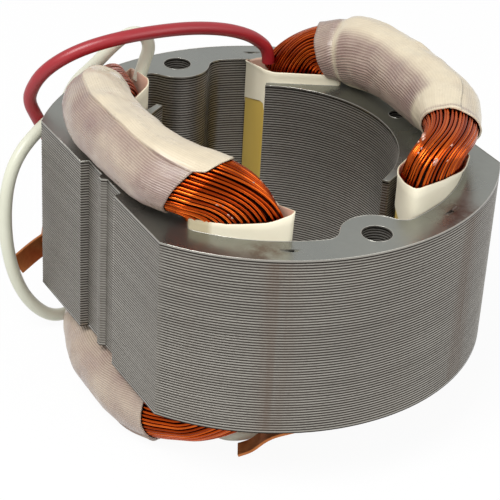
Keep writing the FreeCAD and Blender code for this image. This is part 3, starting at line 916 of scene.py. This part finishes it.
def wrap(side, upper):
    """Cotton tape laid lengthwise round the end turn, its last edge lapped over its first."""
    bundle = Bundle(side, upper)
    edge_table = list(enumerate(EDGES[side, upper]))
    seed = Vector((3.1 if bundle.right else 7.7, 1.3 if upper else 5.9, 2.2))
    points, faces, around, thin = [], [], [], []
    for row in range(-1, TAPE_ROWS + 2):
        s = min(1.0, max(0.0, row / TAPE_ROWS))
        # rows are closer together near both ends
        s = s - 0.12 * math.sin(TAU * s) / TAU
        near_end = min(s, 1 - s)
        turned_in = row in (-1, TAPE_ROWS + 1)
        for column in range(TAPE_COLUMNS + 2):
            turn = (TAU + TAPE_LAP) * min(column, TAPE_COLUMNS) / TAPE_COLUMNS
            t = LAST * s
            waver = 2.5 * noise.noise(seed + Vector((0, 0, t * 1.6)))
            phi = math.radians(along_table(edge_table, t) + waver) + TAPE_LAP - turn
            start, stop = bundle.cut(True, phi), bundle.cut(False, phi)
            ragged = 0.02 * noise.noise(seed + Vector((phi * 2.2, 5 * s, 0)))
            t = start + ragged + (stop - start) * s
            spot = seed + Vector((math.cos(phi) * 1.1, math.sin(phi) * 1.1, t * 0.9))
            fold = noise.noise(spot * 1.3) * 0.22 + noise.noise(spot * 3.4) * 0.09
            fine = noise.noise(Vector((spot.x * 9, spot.y * 9, spot.z * 2.2))) * 0.05
            out = TAPE_OVER + fold + fine
            out += TAPE_THICKNESS * smooth(TAU - 0.25, TAU + 0.05, turn)
            out += 0.10 * (1 - smooth(0.0, 0.02, near_end))
            edge_lift = bell(turn - TAU - TAPE_LAP, -0.10, 0.13)
            out += 0.26 * edge_lift * max(0.0, 0.4 + 1.9 * noise.noise(spot * 1.7)) * (
                smooth(0.03, 0.12, near_end))
            if bundle.right and upper:
                towards_bore = 0.5 + 0.5 * math.cos(phi - math.radians(150))
                out -= 0.55 * (bell(t, FOLD, 0.09) * towards_bore)
                out += 0.06 * bell(t, SWELLING, 0.2)
            facing = math.degrees(phi) % 360
            past_edge = (facing + 180) % 360 - 180 - along_table(edge_table, t)
            tight = thinness(bundle, t, t - start, facing, past_edge, spot)
            under = turned_in or column == TAPE_COLUMNS + 1
            out -= (TAPE_THICKNESS + 0.1) * under
            points.append(bundle.place(bundle.oval(t, phi, out)))
            around.append(turn * RIB_RADIUS[side])
            thin.append(min(1.0, max(0.0, tight)))
    grid(faces, 0, TAPE_ROWS + 3, TAPE_COLUMNS + 2)
    if bundle.right != upper:
        faces = [face[::-1] for face in faces]
    name = "%s_%s" % ("top" if upper else "bottom", side)
    build("tape_" + name, points, faces, TAPE, "cotton_tape", "tape_wrap_" + name,
          around=around, thin=thin)


def liner(name):
    """A slot's paper liner with its collars, and its closing strip."""
    shift, tip_edge, foot_edge, rim = COLLARS[name][2], *COLLARS[name][4:]
    outline = slot_outline(name, shift)
    ways = inward_ways(outline)
    count = len(outline)
    reach = distances(outline + outline[:1])
    height = (STACK_TOP - STACK_LOW) / MM
    points, faces, aged = [], [], []
    for upper in (True, False):
        first = len(points)
        for k in range(count):
            share = reach[k] / reach[-1]
            around = TAU * share
            spot = Vector((math.cos(around), math.sin(around), len(name) * 0.7))
            top = along_table(rim if upper else LOWER_RIM, share)
            top += 0.10 * noise.noise(spot * 4)
            on_wall = max(smooth(WALL_START - 0.02, WALL_START + 0.02, share),
                          1 - smooth(0.03, 0.045, share))
            past = (share - WALL_START) / (1 - WALL_START) if share > 0.5 else 1.0
            edge = foot_edge + (tip_edge - foot_edge) * max(0.0, past)
            low = -height / 2 * (1 - on_wall) + edge * on_wall
            lapped = name == "front_left" and share > LAP_SHARE
            older = name == "front_left" and share < LAP_SHARE
            step = LAP_STEP if lapped else 0.0
            lean = 0.18 * (1 + noise.noise(spot * 1.6))
            if name == "front_right":
                lean += 0.5 * smooth(0.15, 0.3, share) * (1 - smooth(0.55, 0.7, share))
            levels = ((low, 0.0), (min(0.0, top - 0.3), 0.0), (top * 0.6, 0.4),
                      (top - 0.12, 1.0), (top, 1.0))
            for inner, depth in ((False, 0.0), (True, PAPER_THICKNESS)):
                for level, flare in levels[::-1] if inner else levels:
                    inset = depth + (RIM_ROUNDING if level == top and not inner else 0.0)
                    inset -= ((RIM_ROUNDING if level == top and inner else 0.0)
                              + lean * flare * (level > 0) + step)
                    points.append(in_slot(name, outline[k] + ways[k] * inset, level, upper))
                    aged.append(1.0 if inner else 0.55 if older else 0.1)
        ring = 2 * len(levels)
        for index in range(count):
            after = first + (index + 1) % count * ring
            for k in range(ring - 1):
                a = first + index * ring + k
                faces.append((a, a + 1, after + k + 1, after + k))
    build("liner_" + name, points, faces, PAPER, "slot_paper", "slot_liner_" + name, aged=aged)
    closing_strip(name, outline, ways, reach)


def closing_strip(name, outline, ways, reach):
    """The strip behind a liner's closing wall, from the wall's foot to past the horn's tip."""
    count = len(outline)
    height = (STACK_TOP - STACK_LOW) / MM
    points, faces = [], []
    start = next(k for k in range(count) if reach[k] / reach[-1] > WALL_START - 0.03)
    strip = [(outline[k % count], ways[k % count]) for k in range(start, count + 7)]
    levels = (*STRIP_LEVELS, -STRIP_LEVELS[0] - height)
    for number, (place, way) in enumerate(strip):
        bulge = math.sin(math.pi * number / (len(strip) - 1))
        for level in levels:
            spot = place + way * (STRIP_DEPTH - STRIP_BULGE * bulge)
            points.append(in_slot(name, spot, level, True))
    grid(faces, 0, len(strip), len(levels))
    build("strip_" + name, points, faces, YELLOW, "closing_strip", "slot_closing_strip_" + name)


def drops():
    """Beads of dried varnish on the front end turns' wires."""
    rng = random.Random(21)
    rings, sides = 4, 10
    points, faces = [], []
    for side, count, low, high in DROPS:
        fan = Fan(Bundle(side, True), True)
        for _ in range(count):
            phi = math.radians(rng.uniform(low, high))
            line = fan.path(phi, phi, 0.40, 0.14, 20)
            k = rng.choice((6, 7, 8, 9, 10, 11))
            place, ahead, middle = (fan.bundle.place(p) for p in (
                line[k], line[k + 1], fan.bundle.section(0.1)[0]))
            along = (ahead - place).normalized()
            out = (place - middle).normalized()
            out = (out - along * out.dot(along)).normalized()
            across = along.cross(out)
            size = rng.choice(DROP_SIZES) * MM
            first = len(points)
            for ring in range(rings + 1):
                tilt = math.pi / 2 * ring / rings
                for step in range(sides):
                    turn = TAU * step / sides
                    wide = size * math.cos(tilt) * (1 + 0.25 * math.sin(2 * turn + phi * 7))
                    points.append(place + along * (1.5 * wide * math.cos(turn))
                                  + across * (wide * math.sin(turn))
                                  + out * (0.55 * size * math.sin(tilt)))
            bridge(faces, first, rings + 1, sides)
    build("varnish_drops", points, faces, VARNISH, "enamelled_copper")


for NAME in ("front_left", "front_right", "back_left", "back_right"):
    liner(NAME)
for SIDE in ("left", "right"):
    windings(SIDE)
    wrap(SIDE, True)
    wrap(SIDE, False)
drops()

# -------- leads
LEAD_DIAMETER = 2.4 * MM


def over_stack(x, y, above):
    """A place given in mm, with its height over the upper face."""
    return Vector((x * MM, y * MM, STACK_TOP + above * MM))


def lead(name, route, material):
    """A lead along a smooth curve that its route steers."""
    curve = bpy.data.curves.new(name, "CURVE")
    curve.dimensions = "3D"
    curve.resolution_u = 12
    curve.bevel_depth = LEAD_DIAMETER / 2
    curve.bevel_resolution = 6
    curve.use_fill_caps = True
    spline = curve.splines.new("NURBS")
    spline.points.add(len(route) - 1)
    for point, place in zip(spline.points, route):
        point.co = (*place, 1)
    spline.order_u = 3
    spline.use_endpoint_u = True
    piece = new_piece(name + "_wire", curve, material)
    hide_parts(name)


RED_ROUTE = [over_stack(*p) for p in (
    (-26.4, 14.9, 1.2), (-26.4, 14.7, 3.8), (-26.5, 12.6, 5.9), (-26.2, 9.8, 7.8),
    (-25.6, 4.6, 10.0), (-25.2, -2.6, 11.6), (-25.0, -10.6, 12.2), (-25.6, -17.2, 11.8),
    (-27.0, -22.6, 10.4), (-28.6, -26.6, 8.2), (-30.6, -29.2, 5.2), (-32.8, -30.2, 1.6),
    (-34.1, -30.4, -1.6), (-34.0, -28.8, -5.2), (-34.0, -26.6, -9.6), (-33.2, -25.9, -15.2),
    (-32.8, -26.3, -21.4), (-31.6, -27.8, -27.4))]
WHITE_ROUTE = [over_stack(*p) for p in (
    (-28.9, -10.9, 1.2), (-28.9, -10.0, 4.4), (-28.7, -8.9, 7.4), (-29.0, -9.8, 10.0),
    (-29.8, -12.4, 10.6), (-31.0, -15.4, 7.8), (-33.0, -18.0, 3.6), (-35.8, -20.4, -0.4),
    (-35.4, -22.6, -4.2), (-33.0, -25.6, -5.0), (-30.2, -29.6, -5.2), (-28.0, -34.6, -7.8),
    (-27.2, -37.4, -12.6), (-26.8, -38.5, -20.0), (-26.6, -37.9, -29.0), (-26.5, -35.4, -37.0),
    (-26.8, -31.0, -42.8), (-27.8, -26.4, -45.0), (-30.8, -18.4, -45.0), (-32.4, -10.0, -45.0),
    (-25.8, -2.4, -45.0), (-12.6, -2.6, -45.0), (1.4, -8.4, -45.0), (11.8, -15.4, -45.0),
    (17.0, -18.0, -44.6), (20.2, -16.4, -44.3), (21.2, -11.9, -44.2), (22.8, -7.4, -42.9),
    (25.6, -6.2, -41.2))]
lead("red_lead", RED_ROUTE, RED)
lead("white_lead", WHITE_ROUTE, WHITE)


# -------- stage
def stage():
    """A white floor and world, and lamps at a plain level."""
    half = 1.2
    points = [(-half, -half, 0), (half, -half, 0), (half, half, 0), (-half, half, 0)]
    floor = new_object("floor", mesh_from("floor", points, [(0, 1, 2, 3)], True))
    n = Nodes("floor", roughness=0.9)
    n.colour((0.8, 0.8, 0.8, 1))
    white = n.add("ShaderNodeEmission", Strength=1.0)
    n.backdrop(0.94, n.shader.outputs[0], white.outputs[0], "Material Output")
    floor.data.materials.append(n.material)

    world = bpy.data.worlds.new("studio")
    bpy.context.scene.world = world
    world.use_nodes = True
    n = Tree(world.node_tree)
    lit = n.tree.nodes["Background"]
    lit.inputs["Color"].default_value = (0.95, 0.97, 1.0, 1)
    lit.inputs["Strength"].default_value = 0.5
    white = n.add("ShaderNodeBackground", Strength=1.0)
    n.backdrop(1.0, lit.outputs[0], white.outputs[0], "World Output")

    def lamp(name, place, size, power):
        light = bpy.data.lights.new(name, "AREA")
        light.shape = "DISK"
        light.size = size
        light.energy = power
        holder = new_object(name, light)
        holder.location = place
        aim = Vector((0, 0, 0.03)) - Vector(place)
        holder.rotation_euler = aim.to_track_quat("-Z", "Y").to_euler()

    lamp("key", (0.15, -0.35, 0.55), 0.35, 4.0)
    lamp("fill", (0.5, 0.25, 0.35), 0.5, 1.5)


def camera():
    """The photo's camera, worked out from the outline of the stack."""
    data = bpy.data.cameras.new("camera")
    data.sensor_width = 36
    data.lens = 129.246
    data.clip_start = 0.01
    right = Vector((0.48837881, 0.87115842, 0.05068682))
    down = Vector((0.466609, -0.21161869, -0.85877446))
    ahead = Vector((-0.73740232, 0.44305817, -0.50984044))
    matrix = Matrix((right, -down, -ahead)).transposed().to_4x4()
    matrix.translation = (0.23658, -0.14469, 0.14233 + STACK_TOP)
    eye = new_object("camera", data)
    eye.matrix_world = matrix
    bpy.context.scene.camera = eye


stage()
camera()
bpy.context.scene.view_settings.view_transform = "Standard"
